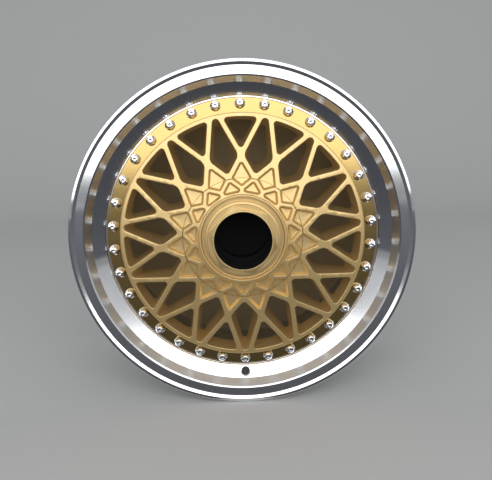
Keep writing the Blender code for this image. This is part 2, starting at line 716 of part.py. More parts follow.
POLISHED = make_material("polished_aluminium", (0.86, 0.87, 0.88), 0.08, 1.0)
SATIN = make_material("satin_aluminium", (0.62, 0.63, 0.65), 0.35, 1.0)
GOLD = make_material("gold_paint", (0.80, 0.58, 0.22), 0.35, 0.6)
CHROME = make_material("chrome", (0.85, 0.86, 0.88), 0.08, 1.0)
STEEL = make_material("bright_steel", (0.55, 0.55, 0.56), 0.3, 1.0)
SEALANT = make_material("grey_sealant", (0.35, 0.35, 0.35), 0.7, 0.0)
RUBBER = make_material("black_rubber", (0.02, 0.02, 0.02), 0.6, 0.0)

make_outer_lip()
make_inner_barrel()
make_rim_seal()
make_centre_disc()
make_waffle_cover()
make_hex_nut()
make_cover_seal()
make_cover_pins()
make_bolts()
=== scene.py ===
# %% [markdown]
# # A three-piece racing wheel
#
# This lesson builds the looks of a split-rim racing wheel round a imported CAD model. The CAD
# model fixes every size and place, and each piece made here takes its place from it. The wheel
# stands upright: its axle line is the Y axis, the show face looks towards -Y and +Z is up.

# %% Load the frame
import math

import bpy
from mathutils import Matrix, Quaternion, Vector


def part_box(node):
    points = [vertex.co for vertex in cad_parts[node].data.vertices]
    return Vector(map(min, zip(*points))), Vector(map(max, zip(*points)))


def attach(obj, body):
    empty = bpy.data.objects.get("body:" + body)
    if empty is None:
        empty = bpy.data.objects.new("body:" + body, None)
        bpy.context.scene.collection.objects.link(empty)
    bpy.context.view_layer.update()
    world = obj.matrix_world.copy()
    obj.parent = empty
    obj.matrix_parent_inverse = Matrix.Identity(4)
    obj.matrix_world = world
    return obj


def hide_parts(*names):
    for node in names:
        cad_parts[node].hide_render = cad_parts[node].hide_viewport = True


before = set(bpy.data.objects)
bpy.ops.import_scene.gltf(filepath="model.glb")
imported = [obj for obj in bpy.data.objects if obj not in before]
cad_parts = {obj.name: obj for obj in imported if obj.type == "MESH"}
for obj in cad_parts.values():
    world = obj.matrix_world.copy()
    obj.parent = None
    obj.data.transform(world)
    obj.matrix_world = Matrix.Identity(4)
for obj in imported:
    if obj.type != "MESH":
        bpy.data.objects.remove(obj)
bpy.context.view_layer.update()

SCENE = bpy.context.scene
mm = 0.001

# %% [markdown]
# Everything on a wheel is measured from the front plane of its lip, so that plane is read from
# the CAD lip first. A depth is a distance behind it, and a negative depth stands in front.
# The other sizes are the wheel maker's own: radii from the axle, depths and roundings.

# %% Where the wheel's parts are
LIP_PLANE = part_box("outer_lip")[0].y
BARREL_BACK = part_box("inner_barrel")[1].y - LIP_PLANE
EDGE = 220.28               # millimetres, radius of both rim halves' outer edges
BOLTS = 34
BOLT_CIRCLE = 167.5 * mm
FACETS = 8 * BOLTS


def y_of(depth):
    """World Y of a depth behind the lip's front plane."""
    return LIP_PLANE + depth


print("lip plane at y =", round(LIP_PLANE, 4))
for node in ("centre_disc", "waffle_cover", "hex_nut"):
    front, back = ((corner.y - LIP_PLANE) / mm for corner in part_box(node))
    print(f"{node}: {front:.1f} to {back:.1f} mm behind the lip's front plane")

# %% [markdown]
# ## Turning a profile
#
# The rim halves, the hub and the rings all come off a lathe, so they are made as a turner
# makes them: from an outline of radii and depths. A Screw modifier could spin such an outline
# in one go. Here a circle is extruded from point to point instead, growing or shrinking at
# each step, because every ring then stays selected for the next step and the corners can be
# given true arcs before the first ring is drawn.

# %% Deselect, arcs and the turning tool
def start_clean():
    """Leave edit mode and deselect everything, so that an operator sees only new work."""
    if bpy.context.object and bpy.context.object.mode != "OBJECT":
        bpy.ops.object.mode_set(mode="OBJECT")
    bpy.ops.object.select_all(action="DESELECT")


def pick(piece):
    """Select this piece alone and make it the active one."""
    start_clean()
    piece.select_set(True)
    bpy.context.view_layer.objects.active = piece


def apply_placement(name):
    """Name the piece that was just added and move its placement into its mesh."""
    piece = bpy.context.object
    piece.name = name
    bpy.ops.object.transform_apply(location=True, rotation=True, scale=True)
    return piece


def swung(vector, angle):
    """The flat vector turned by an angle."""
    c, s = math.cos(angle), math.sin(angle)
    return Vector((vector.x * c - vector.y * s, vector.x * s + vector.y * c))


def arc_corner(before, corner, after, radius, steps):
    """Centre and points of an arc that rounds the corner between two sides."""
    to_before = (before - corner).normalized()
    to_after = (after - corner).normalized()
    half = to_before.angle(to_after) / 2
    centre = corner + (to_before + to_after).normalized() * radius / math.sin(half)
    start = corner + to_before * radius / math.tan(half) - centre
    end = corner + to_after * radius / math.tan(half) - centre
    sweep = start.angle_signed(end)
    return centre, [centre + swung(start, -sweep * step / steps) for step in range(steps + 1)]


def soften(outline, closed=True, steps=4):
    """Turn (radius, depth, rounding) corners, in millimetres, into points in metres."""
    corners = [Vector((r, d)) * mm for r, d, _ in outline]
    points = []
    for i, (_, _, rounding) in enumerate(outline):
        at_end = not closed and i in (0, len(outline) - 1)
        if rounding and not at_end:
            after = corners[(i + 1) % len(corners)]
            points += arc_corner(corners[i - 1], corners[i], after, rounding * mm, steps)[1]
        else:
            points.append(corners[i])
    return points


def turned(name, outline, facets=FACETS, closed=True, steps=4):
    """A turned piece from a softened outline; an open outline is capped at both ends."""
    start_clean()
    points = soften(outline, closed, steps)
    first = points[0]
    bpy.ops.mesh.primitive_circle_add(vertices=facets, radius=first.x,
                                      location=(0, y_of(first.y), 0),
                                      rotation=(math.pi / 2, 0, 0))
    piece = apply_placement(name)
    piece.data.name = name
    bpy.ops.object.mode_set(mode="EDIT")
    bpy.ops.mesh.select_mode(type="VERT")
    bpy.ops.mesh.select_all(action="SELECT")
    if not closed:
        bpy.ops.mesh.edge_face_add()
    here = first
    for point in points[1:]:
        bpy.ops.mesh.extrude_region_move(
            TRANSFORM_OT_translate={"value": (0, point.y - here.y, 0)})
        grow = point.x / here.x
        bpy.ops.transform.resize(value=(grow, 1, grow), center_override=(0, 0, 0))
        here = point
    if closed:
        bpy.ops.mesh.select_non_manifold()
        bpy.ops.mesh.bridge_edge_loops()
    bpy.ops.mesh.select_all(action="SELECT")
    bpy.ops.mesh.normals_make_consistent(inside=False)
    bpy.ops.object.mode_set(mode="OBJECT")
    return piece


def smooth_by_angle(piece, degrees):
    pick(piece)
    bpy.ops.object.shade_smooth_by_angle(angle=math.radians(degrees))
    return piece


def finish_piece(piece, body, stands_for, smooth_under=38):
    """Smooth shading that keeps flat faces flat, and the piece's place in the wheel."""
    smooth_by_angle(piece, smooth_under)
    even = piece.modifiers.new("even_normals", "WEIGHTED_NORMAL")
    even.keep_sharp = True
    even.weight = 80
    bpy.ops.object.modifier_apply(modifier=even.name)
    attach(piece, body)
    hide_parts(*stands_for)
    print(f"{piece.name}: {sum(len(f.vertices) - 2 for f in piece.data.polygons)} triangles")
    return piece


# %% [markdown]
# ## Cutting with a Boolean
#
# Holes, windows and pockets are cut as a mill would cut them: a solid of the tool's path is
# made once, repeated round the axle by a spin that duplicates, and taken away with a Boolean
# modifier that is applied at once. The spin operator turns counter-clockwise as the show face
# is seen.

# %% Repeating and cutting
def edit_all_of(piece):
    pick(piece)
    bpy.ops.object.mode_set(mode="EDIT")
    bpy.ops.mesh.select_all(action="SELECT")


def repeat_round(piece, count):
    """Copies of the piece's whole mesh, evenly round the axle, in the same object."""
    edit_all_of(piece)
    bpy.ops.mesh.spin(dupli=True, steps=count - 1, angle=2 * math.pi * (count - 1) / count,
                      center=(0, 0, 0), axis=(0, 1, 0))
    bpy.ops.mesh.select_all(action="SELECT")
    bpy.ops.mesh.normals_make_consistent(inside=False)
    bpy.ops.object.mode_set(mode="OBJECT")
    return piece


def cut(piece, cutter, operation="DIFFERENCE", keep_cutter=False):
    """Take the cutter away from the piece, or join or intersect the two."""
    start_clean()
    bpy.context.view_layer.objects.active = piece
    step = piece.modifiers.new("cut", "BOOLEAN")
    step.operation = operation
    step.solver = "EXACT"
    step.object = cutter
    bpy.ops.object.modifier_apply(modifier=step.name)
    if not keep_cutter:
        bpy.data.objects.remove(cutter, do_unlink=True)


def bar(name, radius, height, front, back, sides):
    """A bar along the axle, from depth to depth, at a height above the axle."""
    start_clean()
    bpy.ops.mesh.primitive_cylinder_add(
        vertices=sides, radius=radius, depth=back - front,
        location=(0, y_of((front + back) / 2), height), rotation=(math.pi / 2, 0, 0))
    return apply_placement(name)


BOLT_HOLE_RADIUS = 3.8 * mm
BOLT_HOLE_CUTTER = repeat_round(
    bar("bolt_hole_cutter", BOLT_HOLE_RADIUS, BOLT_CIRCLE, 20 * mm, 52 * mm, 16), BOLTS)
print(BOLT_HOLE_CUTTER.name, len(BOLT_HOLE_CUTTER.data.polygons), "faces")

# %% [markdown]
# ## The outer lip
#
# The front half of the rim is the showpiece: spun and forged aluminium, turned and then
# polished to a mirror. From outside in it has a rounded edge, a narrow slope, a broad flat band
# that lies 1.5 mm behind the edge, a small chamfer, a steep step, a conical wall and a flat land
# in which the centre sits. The tyre side carries the bead seat. A mirror shows every facet, so
# the outline has true arcs and the lip has eight facets to each bolt.

# %% Turn the lip
WALL_TOP = (193.2, 16.6)     # radius and depth of the conical wall's two ends, millimetres
WALL_FOOT = (178.3, 25.8)


def make_lip():
    outline = [
        (199.0, 2.7, 0.3), (200.7, 1.5, 0.25), (211.5, 1.5, 0.15), (215.3, 0.0, 0.2),
        (218.6, 0.4, 1.2), (EDGE, 2.4, 1.4), (EDGE, 6.5, 1.8),
        (214.3, 10.5, 3.0), (210.3, 12.6, 3.0), (202.8, 13.4, 2.5), (201.2, 32.6, 1.0),
        (187.8, 34.3, 0.6), (182.0, 39.4, 0.4), (160.0, 39.4, 0.4), (160.0, 33.9, 0.4),
        (175.3, 33.9, 0.3), (175.3, 28.0, 0.4), (177.5, 28.0, 0.6), (*WALL_FOOT, 0.4),
        (*WALL_TOP, 0.6),
    ]
    lip = turned("polished_lip", outline, steps=5)
    cut(lip, BOLT_HOLE_CUTTER, keep_cutter=True)
    return lip


LIP = make_lip()

# %% [markdown]
# At the foot of the wheel the conical wall is drilled for the valve. The hole stands square to
# the wall, so both tools are turned to the wall's own slope: a long drill, which is a cone with
# two equal ends, and a short, wide cone for the countersink.

# %% Drill the valve hole
VALVE_HOLE_RADIUS = 5.65     # millimetres


def drill_valve_hole(lip):
    top = Vector(WALL_TOP) * mm
    foot = Vector(WALL_FOOT) * mm
    seat = top.lerp(foot, 0.58)
    slope = math.atan2(foot.y - top.y, top.x - foot.x)
    across = Vector((0, -math.cos(slope), math.sin(slope)))
    middle = Vector((0, y_of(seat.y), -seat.x))
    drill = (VALVE_HOLE_RADIUS, VALVE_HOLE_RADIUS, 50.0)
    countersink = (5.3, 11.1, 6.0)
    for inner, outer, length in (drill, countersink):
        start_clean()
        bpy.ops.mesh.primitive_cone_add(
            vertices=64, radius1=inner * mm, radius2=outer * mm, depth=length * mm,
            location=middle, rotation=across.to_track_quat("Z", "X").to_euler())
        cut(lip, apply_placement("valve_drill"))


drill_valve_hole(LIP)
finish_piece(LIP, "rim", ["outer_lip"], smooth_under=32)

# %% [markdown]
# ## The inner barrel
#
# Behind the bolted joint the barrel has the drop centre, which lets a tyre over the flange, then
# a ramp, a straight wall, the rear bead seat with its safety hump and the rear flange. It is
# spun and left satin, because a tyre hides its outside and nobody looks at its inside.

# %% Turn the barrel
def make_barrel():
    back = BARREL_BACK / mm
    outline = [
        (181.8, 39.6, 0.3), (184.0, 41.8, 0.4), (184.0, 93.6, 9.0), (200.2, 116.3, 9.0),
        (200.2, 189.8, 2.0), (201.9, 192.8, 1.6), (201.2, 195.8, 1.6), (202.8, 213.8, 2.5),
        (210.3, 215.8, 3.0), (214.3, 217.9, 3.0), (EDGE, 221.9, 1.8), (EDGE, 225.6, 1.4),
        (218.6, 227.8, 1.2), (216.3, back, 0.8), (206.3, back, 2.0), (194.7, 216.4, 4.0),
        (194.7, 117.8, 8.0), (178.5, 95.1, 8.0), (178.5, 45.6, 2.0), (160.0, 45.6, 0.4),
        (160.0, 39.6, 0.3),
    ]
    barrel = turned("satin_barrel", outline, steps=4)
    cut(barrel, BOLT_HOLE_CUTTER, keep_cutter=True)
    return barrel


BARREL = finish_piece(make_barrel(), "rim", ["inner_barrel"],
                      smooth_under=32)

# %% [markdown]
# ## The spoke pattern
#
# Every spoke of this centre is a straight bar that passes the axle at the same distance, like
# the wires of a laced bicycle wheel, half of them leaning one way and half the other. They
# cross on a ring of fifteen nodes. What lies between them are four kinds of cell: a triangle
# against the outer ring, a long kite, and two small blind pockets near the hub.
#
# So the pattern follows from very few numbers. A line is given by its foot, the angle of its
# nearest point to the axle, and by its distance from the axle. A cell's corners are where two
# such lines meet.

# %% The lines of the pattern
CELLS = 15
CELL_ANGLE = 2 * math.pi / CELLS
CROSSING_RADIUS = 104.0 * mm
MESH_RADIUS = 156.5 * mm
WINDOW_RADIUS = 151.0 * mm
BEYOND_MESH = 16 * mm
SPOKE_HALF = 3.1 * mm
RIB_HALF = 2.4 * mm
POCKET_CORNER = 2.4 * mm


def on_circle(radius, angle):
    """A point (x, z) at an angle from the top, clockwise as the show face is seen."""
    return Vector((radius * math.sin(angle), radius * math.cos(angle)))


def spoke_line():
    """Foot and distance of a spoke's centre line, which joins a crossing to a point half a
    cell further round, outside the mesh."""
    inner = on_circle(CROSSING_RADIUS, 0)
    outer = on_circle(MESH_RADIUS + BEYOND_MESH, CELL_ANGLE / 2)
    along = (outer - inner).normalized()
    distance = abs(inner.x * along.y - inner.y * along.x)
    return math.acos(distance / CROSSING_RADIUS), distance


def meet(foot_a, distance_a, foot_b, distance_b):
    """The point (x, z) where two lines cross."""
    a, b = on_circle(1, foot_a), on_circle(1, foot_b)
    det = a.x * b.y - a.y * b.x
    return Vector(((distance_a * b.y - distance_b * a.y) / det,
                   (a.x * distance_b - b.x * distance_a) / det))


FOOT, DISTANCE = spoke_line()
print(f"spokes pass the axle at {DISTANCE / mm:.1f} mm, feet at {math.degrees(FOOT):.1f} deg")

# %% [markdown]
# A cell's outline is drawn the way it would be set out on metal, with a ruler and a compass:
# straight sides, and at each corner an arc. An arc is kept as its centre, its first point and
# its sweep, counter-clockwise as the show face is seen. `grow` moves every side outwards, which
# the softened upper edge of a window needs.

# %% Arcs of the four cells
def arc(centre, start, end):
    """The counter-clockwise arc from start to end as (centre, start, sweep)."""
    a, b = start - centre, end - centre
    sweep = math.atan2(b.y, b.x) - math.atan2(a.y, a.x)
    return centre, start, sweep % (2 * math.pi)


def polygon_arcs(corners, roundings):
    """Arcs that round the corners of a polygon given counter-clockwise."""
    arcs = []
    for i, (corner, radius) in enumerate(zip(corners, roundings)):
        after = corners[(i + 1) % len(corners)]
        centre, ends = arc_corner(corners[i - 1], corner, after, radius, 1)
        arcs.append(arc(centre, *ends))
    return arcs


def kite_corners(outer_foot, outer_distance, inner_foot, inner_distance):
    """A four-sided cell on the upright line: inner tip, right, outer tip, left."""
    right = meet(outer_foot, outer_distance, -inner_foot, inner_distance)
    return [meet(-inner_foot, inner_distance, inner_foot, inner_distance), right,
            meet(-outer_foot, outer_distance, outer_foot, outer_distance),
            Vector((-right.x, right.y))]


def long_window(grow, radii):
    """The kite between two crossings; radii are those of its nose, sides and tip."""
    corners = kite_corners(FOOT + CELL_ANGLE / 2, DISTANCE - SPOKE_HALF + grow,
                           FOOT - CELL_ANGLE / 2, DISTANCE + SPOKE_HALF - grow)
    nose, side, tip = radii
    return polygon_arcs(corners, [nose + grow, side + grow, tip + grow, side + grow])


def triangle_window(grow, radii):
    """Two spokes and the ring: the outer side is an arc round the axle itself."""
    radius = radii[1] + grow
    nose = radii[0] + grow
    ring = WINDOW_RADIUS + grow
    side = DISTANCE + SPOKE_HALF - grow
    turn = math.acos((side + radius) / (ring - radius)) - FOOT
    right, left = on_circle(ring - radius, turn), on_circle(ring - radius, -turn)
    tip = meet(-FOOT, side + nose, FOOT, side + nose)
    to_right, to_left = on_circle(1, -FOOT), on_circle(1, FOOT)
    return [arc(tip, tip - to_left * nose, tip - to_right * nose),
            arc(right, right - to_right * radius, on_circle(ring, turn)),
            arc(Vector((0, 0)), on_circle(ring, turn), on_circle(ring, -turn)),
            arc(left, on_circle(ring, -turn), left - to_left * radius)]


def diamond_pocket(grow):
    """The pocket that the cover's round seam runs through."""
    corners = kite_corners(FOOT, DISTANCE - SPOKE_HALF + grow,
                           FOOT - CELL_ANGLE, DISTANCE + RIB_HALF - grow)
    return polygon_arcs(corners, [POCKET_CORNER + grow] * 4)


def triangle_pocket(grow):
    """The pocket between two ribs, nearest the hub; its base stands square to the radius."""
    foot = FOOT - CELL_ANGLE / 2
    side = DISTANCE - RIB_HALF + grow
    base = 58.3 * mm - grow
    half_base = abs((side - base * math.cos(foot)) / math.sin(foot))
    corners = [Vector((-half_base, base)), Vector((half_base, base)),
               meet(-foot, side, foot, side)]
    return polygon_arcs(corners, [POCKET_CORNER + grow] * 3)


FACE_KITE = (4.2 * mm, 10.0 * mm, 4.4 * mm)    # a long window's nose, sides and tip
print("corner arcs of a long window sweep",
      [round(math.degrees(sweep)) for _, _, sweep in long_window(0, FACE_KITE)], "degrees")

# %% [markdown]
# To draw an outline in edit mode, one vertex is enough to start with: extruding it draws a
# straight side, and the spin operator, which turns a vertex about any point, draws an exact arc.
#
# The cutter then grows from the filled outline by insets. Each inset moves every side inwards
# by the same distance and lowers the face, so three short insets round the window's upper edge.
# The long wall below has draft, because a forging must leave its die, and its corners open out
# towards the back. No inset does that, so the floor is extruded and its points are then moved
# one by one, each to its partner on the outline of the back opening.

# %% Draw an outline and sink it
DRAWING_RISE = 0.05 * mm     # outlines are drawn just in front of the face that they cut
ARC_STEPS = 8
EDGE_SOFT = 0.9 * mm
DRAFT = math.radians(9)
POCKET_DRAFT = math.radians(32)


def draw_outline(name, arcs, steps=ARC_STEPS):
    """A flat cell with the outline's arcs, left in edit mode and facing forward."""
    start_clean()
    bpy.ops.mesh.primitive_plane_add(size=mm, location=(0, y_of(-DRAWING_RISE), 0))
    cell = apply_placement(name)
    bpy.ops.object.mode_set(mode="EDIT")
    bpy.ops.mesh.select_all(action="SELECT")
    bpy.ops.mesh.merge(type="CENTER")
    pen = Vector((0, 0))
    for i, (centre, start, sweep) in enumerate(arcs):
        step = (start - pen).to_3d().xzy
        if i == 0:
            bpy.ops.transform.translate(value=step)
        elif step.length > 1e-6:
            bpy.ops.mesh.extrude_region_move(TRANSFORM_OT_translate={"value": step})
        bpy.ops.mesh.spin(steps=steps, angle=sweep, axis=(0, 1, 0),
                          center=(centre.x, y_of(-DRAWING_RISE), centre.y))
        pen = centre + swung(start - centre, sweep)
    bpy.ops.mesh.select_all(action="SELECT")
    bpy.ops.mesh.remove_doubles(threshold=1e-6)
    bpy.ops.mesh.edge_face_add()
    bpy.ops.object.mode_set(mode="OBJECT")
    if cell.data.polygons[0].normal.y > 0:
        bpy.ops.object.mode_set(mode="EDIT")
        bpy.ops.mesh.select_all(action="SELECT")
        bpy.ops.mesh.flip_normals()
    bpy.ops.object.mode_set(mode="EDIT")
    return cell


def sink(inset, depth):
    """Draw the selected floor in and lower it; negative depths lie behind."""
    bpy.ops.mesh.inset(thickness=inset, depth=-depth, use_even_offset=True)


def sink_soft_edge(radius, draft):
    """A rounded upper edge, as insets along a quarter circle that end at the draft angle."""
    done = Vector((0, 0))
    for angle in (math.radians(30), math.radians(58), math.pi / 2 - draft):
        point = Vector((radius * math.sin(angle), radius * (1 - math.cos(angle))))
        rise = DRAWING_RISE if done.length == 0 else 0
        sink(point.x - done.x, point.y - done.y + rise)
        done = point
    return done


def close_top(rise):
    """Carry the outline up in front of the face and fill it, so that the cutter is a solid."""
    bpy.ops.mesh.select_all(action="DESELECT")
    bpy.ops.mesh.select_mode(type="EDGE")
    bpy.ops.mesh.select_non_manifold()
    bpy.ops.mesh.extrude_region_move(TRANSFORM_OT_translate={"value": (0, -rise, 0)})
    bpy.ops.mesh.edge_face_add()
    bpy.ops.mesh.select_mode(type="VERT")
    bpy.ops.object.mode_set(mode="OBJECT")


def turn_about_axle(piece, angle):
    """Turn the mesh clockwise as the show face is seen."""
    pick(piece)
    piece.rotation_euler = (0, angle, 0)
    bpy.ops.object.transform_apply(location=False, rotation=True, scale=False)


def outline_points(arcs):
    """All points of an outline, in the order in which it is drawn."""
    return [centre + swung(start - centre, sweep * step / ARC_STEPS)
            for centre, start, sweep in arcs for step in range(ARC_STEPS + 1)]


def window_cutter(name, cell, face_radii, back_radii, draw_in, depth, angle):
    """A window's tool, from the softened outline on the face to the opening at the back."""
    window = draw_outline(name, cell(EDGE_SOFT, face_radii))
    edge = sink_soft_edge(EDGE_SOFT, DRAFT)
    bpy.ops.mesh.extrude_region_move(TRANSFORM_OT_translate={"value": (0, depth, 0)})
    bpy.ops.object.mode_set(mode="OBJECT")
    rim = outline_points(cell(EDGE_SOFT - edge.x, face_radii))
    opening = outline_points(cell(-draw_in, back_radii))
    for vertex in window.data.vertices:
        if vertex.select:
            here = Vector((vertex.co.x, vertex.co.z))
            nearest = min(range(len(rim)), key=lambda i: (rim[i] - here).length)
            vertex.co.x, vertex.co.z = opening[nearest]
    bpy.ops.object.mode_set(mode="EDIT")
    close_top(4 * mm)
    turn_about_axle(window, angle)
    return repeat_round(window, CELLS)


def pocket_cutter(name, cell, angle):
    """A blind pocket's tool, with sloping walls and a floor that rises to its middle."""
    pocket = draw_outline(name, cell(1.1 * mm), steps=5)
    edge = sink_soft_edge(EDGE_SOFT, POCKET_DRAFT)
    sink(3.2 * mm - edge.x, 4.2 * mm - edge.y)
    bpy.ops.mesh.poke(offset=-0.35 * mm)
    close_top(3 * mm)
    turn_about_axle(pocket, angle)
    return repeat_round(pocket, CELLS)


TRIANGLE_CUTTER = window_cutter("triangle_window_cutter", triangle_window,
                                (3.5 * mm, 3.5 * mm), (8.5 * mm, 8.0 * mm), 4.6 * mm,
                                44 * mm, 0)
LONG_CUTTER = window_cutter("long_window_cutter", long_window, FACE_KITE,
                            (12.5 * mm, 16.0 * mm, 8.5 * mm), 5.6 * mm, 54 * mm,
                            CELL_ANGLE / 2)
DIAMOND_CUTTER = pocket_cutter("diamond_pocket_cutter", diamond_pocket, 0)
SMALL_CUTTER = pocket_cutter("triangle_pocket_cutter", triangle_pocket, CELL_ANGLE / 2)
for cutter in (TRIANGLE_CUTTER, LONG_CUTTER, DIAMOND_CUTTER, SMALL_CUTTER):
    print(cutter.name, len(cutter.data.polygons), "faces")

# %% [markdown]
# ## The forged centre
#
# The centre is one forging: a bolting flange, the ring, the spokes and the hub. Its front is
# not flat but a shallow cone that falls back towards the ring. Cutting cells with softened edges
# into a cone would need a cutter that follows the cone. It is simpler to work flat, as a pattern
# maker does: the body is turned with its face flat, the cells are cut, and then every point is
# moved along the axle by the cone's depth at its own radius. Walls that run along the axle stay
# exactly as they were.

# %% Flat work and its cone
FACE_HUB_RADIUS, FACE_HUB_DEPTH = 57.0 * mm, -1.5 * mm
FACE_RING_DEPTH = 10.5 * mm


def face_depth(radius):
    """Depth of the mesh's front face, level inside the hub radius and outside the ring."""
    share = (radius - FACE_HUB_RADIUS) / (MESH_RADIUS - FACE_HUB_RADIUS)
    return FACE_HUB_DEPTH + min(max(share, 0), 1) * (FACE_RING_DEPTH - FACE_HUB_DEPTH)


def flattened(outline):
    """The outline with its face brought up to the lip's front plane."""
    return [(r, d - face_depth(r * mm) / mm, rounding) for r, d, rounding in outline]


def lay_on_cone(piece):
    """Move every point back by the face's depth at its radius."""
    for vertex in piece.data.vertices:
        radius = math.hypot(vertex.co.x, vertex.co.z)
        vertex.co.y += face_depth(radius)
    piece.data.update()


LUGS = 5
LUG_CIRCLE = 60 * mm
LUG_HOLE_RADIUS = 7.25 * mm


def make_centre():
    face = [(radius, face_depth(radius * mm) / mm, 0.0) for radius in range(90, 150, 11)]
    outline = flattened([(76.45, 0.83, 0.3)] + face + [
        (156.5, 10.5, 1.5), (156.5, 26.0, 0.5), (175.0, 26.0, 0.5), (175.0, 33.6, 0.3),
        (159.7, 33.6, 0.3), (158.0, 38.0, 1.0), (147.0, 38.0, 0.0), (114.0, 45.0, 0.0),
        (81.0, 52.0, 3.0), (77.0, 58.0, 3.0), (77.0, 79.0, 0.6), (36.3, 79.0, 0.6),
        (36.3, 55.0, 0.4), (41.3, 49.0, 0.4), (41.3, 7.3, 0.3), (42.7, 7.3, 0.1),
        (42.7, 9.8, 0.3), (45.6, 9.8, 0.3), (45.6, 7.3, 0.1), (47.0, 7.3, 0.2),
        (47.0, 45.0, 1.5), (71.0, 45.0, 2.0), (71.0, 7.3, 0.3), (76.45, 7.3, 0.3)])
    centre = turned("gold_centre", outline, facets=256, steps=3)
    cut(centre, BOLT_HOLE_CUTTER, keep_cutter=True)
    cut(centre, TRIANGLE_CUTTER)
    cut(centre, LONG_CUTTER)
    cut(centre, DIAMOND_CUTTER, keep_cutter=True)
    cut(centre, repeat_round(
        bar("lug_drill", LUG_HOLE_RADIUS, LUG_CIRCLE, 30 * mm, 90 * mm, 40), LUGS))
    return centre


CENTRE = make_centre()
lay_on_cone(CENTRE)
finish_piece(CENTRE, "rim", ["centre_disc"])

# %% [markdown]
# ## The cover plate
#
# The inner part of the pattern is on a separate plate, which hides the wheel bolts. Its edge
# is the fine round seam that runs through the diamond pockets, so the same diamond cutter is
# used on both pieces and the pockets meet across the seam. A raised ring stands round the
# plate's recess, where the ring nut sits.

# %% Turn and cut the cover
def make_cover():
    outline = flattened([
        (52.6, -3.5, 0.7), (55.2, -3.5, 0.9), (56.2, -1.5, 0.6), (57.0, -1.5, 0.0),
        (75.65, 0.75, 0.3), (75.65, 7.0, 0.3), (41.3, 7.0, 0.3), (41.3, 3.0, 0.3),
        (52.6, 3.0, 0.8)])
    cover = turned("gold_cover", outline, facets=192, steps=4)
    cut(cover, DIAMOND_CUTTER)
    cut(cover, SMALL_CUTTER)
    return cover


COVER = make_cover()
lay_on_cone(COVER)
finish_piece(COVER, "cover", ["waffle_cover"])

# %% [markdown]
# ## The hexagonal ring nut
#
# The nut has a round flange that bears on the cover, a hexagon for the spanner, and a threaded
# shank that screws into the centre's collar. The shank and flange are turned. The hexagon is a
# six-sided cylinder whose upright edges are bevelled by hand and whose front is chamfered, as
# on any turned nut, by intersecting it with a cone.

# %% Turn the nut and add its hexagon
ACROSS_FLATS = 76.0 * mm
TIGHTENED_AT = math.radians(43)


def make_hex_nut():
    flange = turned("gold_nut", [
        (35.9, -19.0, 0.3), (37.4, -19.0, 0.5), (37.4, -10.0, 0.0), (44.0, -10.0, 0.0),
        (44.0, -4.7, 1.2), (47.6, -4.7, 0.8),
        (47.6, 2.7, 0.4), (41.0, 2.7, 0.3), (41.0, 26.7, 0.6), (35.9, 26.7, 0.6)],
        facets=144, steps=3)
    corner_radius = ACROSS_FLATS / 2 / math.cos(math.pi / 6)
    hexagon = bar("hexagon", corner_radius, 0, -21 * mm, 7 * mm, 6)
    bpy.ops.object.mode_set(mode="EDIT")
    bpy.ops.mesh.select_mode(type="EDGE")
    bpy.ops.mesh.select_all(action="DESELECT")
    bpy.ops.object.mode_set(mode="OBJECT")
    for edge in hexagon.data.edges:
        a, b = (hexagon.data.vertices[v].co for v in edge.vertices)
        edge.select = abs(a.y - b.y) > 10 * mm
    bpy.ops.object.mode_set(mode="EDIT")
    bpy.ops.mesh.bevel(offset=1.2 * mm, segments=4)
    bpy.ops.object.mode_set(mode="OBJECT")
    turn_about_axle(hexagon, TIGHTENED_AT)
    crown = turned("nut_crown", [
        (36.6, -18.6, 0.0), (37.6, -18.6, 0.3), (38.2, -18.0, 0.4), (50.0, -11.2, 0.0),
        (50.0, -2.0, 0.0), (36.6, -2.0, 0.0)], facets=144, steps=3)
    cut(hexagon, crown, "INTERSECT")
    cut(flange, hexagon, "UNION")
    return flange


NUT = finish_piece(make_hex_nut(), "nut", ["hex_nut"])

# %% [markdown]
# ## Bolts, nuts and seals
#
# Thirty-four small chromed bolts clamp the three parts together. Each has a twelve-point head,
# which a ring spanner grips where there is no room for a hexagon, over a round flange. The head
# is turned round, and then the points of its side are pulled in between the twelve crests. The
# bolt is modelled once, at the top of the wheel, and copied round the bolt circle, each copy
# with its own mesh. The same is done with the nut behind it.

# %% One bolt
CREST_RADIUS = 6.05 * mm      # the fluted side lies between these radii,
CORE_RADIUS = 3.9 * mm
FLANGE_TOP = 24.3 * mm        # in front of the bolt's round flange
FLUTE_SHARE = 0.09


def move_to_bolt_circle(piece):
    edit_all_of(piece)
    bpy.ops.transform.translate(value=(0, 0, BOLT_CIRCLE))
    bpy.ops.object.mode_set(mode="OBJECT")


def make_bolt():
    bolt = turned("bolt", [
        (2.7, 54.4, 0.0), (3.4, 53.6, 0.3), (3.4, 26.0, 0.2), (6.7, 25.75, 0.3), (6.7, 24.7, 0.5),
        (5.9, 24.0, 0.4), (6.0, 20.6, 2.6), (3.6, 18.3, 1.6), (2.2, 18.1, 0.4),
        (1.4, 18.8, 0.3), (0.3, 19.0, 0.0)], facets=48, closed=False, steps=5)
    for vertex in bolt.data.vertices:
        radius = math.hypot(vertex.co.x, vertex.co.z)
        depth = vertex.co.y - LIP_PLANE
        if CORE_RADIUS < radius < CREST_RADIUS and depth < FLANGE_TOP:
            turn = math.atan2(vertex.co.x, vertex.co.z) * 12 / (2 * math.pi)
            valley = 1 - abs(turn % 1 - 0.5) * 2
            vertex.co.x *= 1 - FLUTE_SHARE * valley
            vertex.co.z *= 1 - FLUTE_SHARE * valley
    move_to_bolt_circle(bolt)
    return bolt


